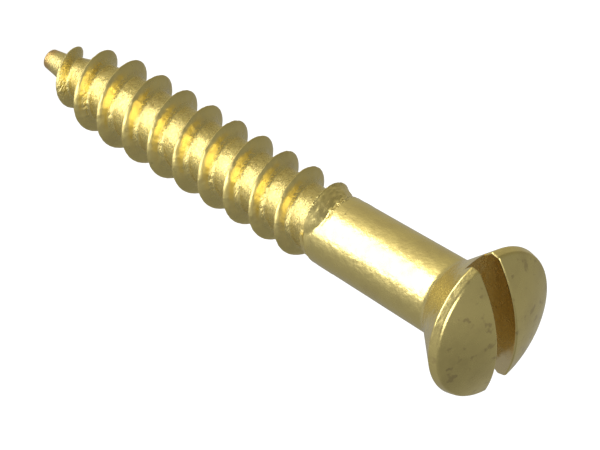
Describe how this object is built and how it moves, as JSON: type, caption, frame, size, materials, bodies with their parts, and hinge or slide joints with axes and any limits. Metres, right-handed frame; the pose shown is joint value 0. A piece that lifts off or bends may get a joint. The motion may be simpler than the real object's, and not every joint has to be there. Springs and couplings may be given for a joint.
{
  "type": "wood screw",
  "caption": "Brass wood screw with a slotted raised-countersunk head, a plain tapering shank and a right-hand rolled thread running down to a blunt point.",
  "frame": {"origin": "centre of the head's rim plane, the circle where the domed top meets the rim; it lies flush with the timber's face when the screw is driven home", "axes": "+Z along the screw's axis out of the head, so the point is towards -Z; X along the driver slot; Y across the slot"},
  "size_m": [0.0082, 0.0084, 0.0325],
  "materials": {
    "brass": "bright rolled and turned brass, lightly scratched, semi-gloss"
  },
  "bodies": {
    "root": {"screw": "brass"}
  },
  "joints": []
}
